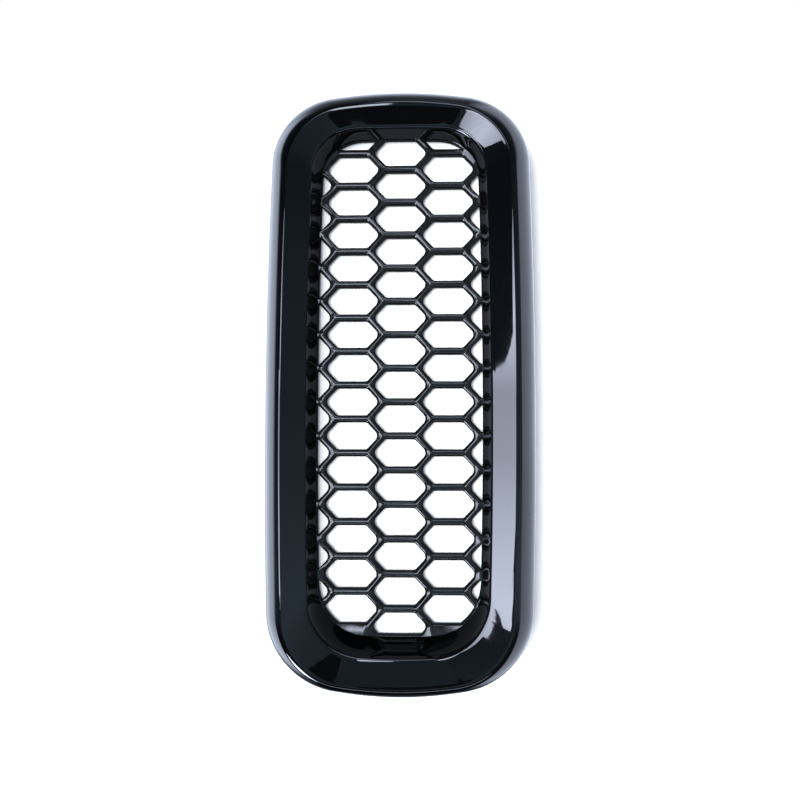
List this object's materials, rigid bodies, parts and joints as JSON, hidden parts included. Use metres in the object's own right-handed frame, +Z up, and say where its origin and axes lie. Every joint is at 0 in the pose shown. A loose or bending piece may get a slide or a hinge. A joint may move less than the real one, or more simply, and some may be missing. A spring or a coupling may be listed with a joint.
{
  "type": "front grille insert",
  "caption": "Upright gloss black grille insert: a bowed trim ring round a honeycomb mesh, with spring clips behind that snap it into a panel opening.",
  "frame": {"origin": "centre of the plane of the ring's rear rim, which is the centre of the panel opening", "axes": "+Z up along the long side, +X to the right seen from in front, +Y to the rear; the show face looks along -Y"},
  "size_m": [0.0804, 0.0229, 0.1787],
  "materials": {
    "gloss_black": "piano black lacquer",
    "mesh_black": "gloss black moulded plastic",
    "zinc_steel": "bright zinc plate",
    "spring_steel": "dark zinc flake coating",
    "foam_tape": "closed-cell foam, matt"
  },
  "bodies": {
    "insert": {"trim_ring": "gloss_black", "honeycomb_mesh": "mesh_black", "mesh_screw_left_upper": "zinc_steel", "mesh_screw_left_middle": "zinc_steel", "mesh_screw_left_lower": "zinc_steel", "mesh_screw_right_upper": "zinc_steel", "mesh_screw_right_middle": "zinc_steel", "mesh_screw_right_lower": "zinc_steel", "mesh_screw_top_left": "zinc_steel", "mesh_screw_top_right": "zinc_steel", "mesh_screw_bottom_left": "zinc_steel", "mesh_screw_bottom_right": "zinc_steel", "tape_left": "foam_tape", "tape_right": "foam_tape", "tape_top": "foam_tape", "tape_bottom": "foam_tape"},
    "clip_left_upper": {"spring_clip_left_upper": "spring_steel"},
    "clip_left_lower": {"spring_clip_left_lower": "spring_steel"},
    "clip_right_upper": {"spring_clip_right_upper": "spring_steel"},
    "clip_right_lower": {"spring_clip_right_lower": "spring_steel"},
    "clip_top": {"spring_clip_top": "spring_steel"},
    "clip_bottom": {"spring_clip_bottom": "spring_steel"}
  },
  "joints": [
    {"name": "clip_left_upper_flex", "type": "hinge", "parent": "insert", "child": "clip_left_upper", "pos_m": [-0.0325, 0.0092, 0.029], "axis": [0, 0, 1], "range_deg": [0, 10], "stiffness_Nm_per_rad": 0.2},
    {"name": "clip_left_lower_flex", "type": "hinge", "parent": "insert", "child": "clip_left_lower", "pos_m": [-0.0325, 0.0092, -0.029], "axis": [0, 0, 1], "range_deg": [0, 10], "stiffness_Nm_per_rad": 0.2},
    {"name": "clip_right_upper_flex", "type": "hinge", "parent": "insert", "child": "clip_right_upper", "pos_m": [0.0325, 0.0092, 0.029], "axis": [0, 0, -1], "range_deg": [0, 10], "stiffness_Nm_per_rad": 0.2},
    {"name": "clip_right_lower_flex", "type": "hinge", "parent": "insert", "child": "clip_right_lower", "pos_m": [0.0325, 0.0092, -0.029], "axis": [0, 0, -1], "range_deg": [0, 10], "stiffness_Nm_per_rad": 0.2},
    {"name": "clip_top_flex", "type": "hinge", "parent": "insert", "child": "clip_top", "pos_m": [0, 0.0092, 0.0817], "axis": [1, 0, 0], "range_deg": [0, 10], "stiffness_Nm_per_rad": 0.2},
    {"name": "clip_bottom_flex", "type": "hinge", "parent": "insert", "child": "clip_bottom", "pos_m": [0, 0.0092, -0.0816], "axis": [-1, 0, 0], "range_deg": [0, 10], "stiffness_Nm_per_rad": 0.2}
  ]
}
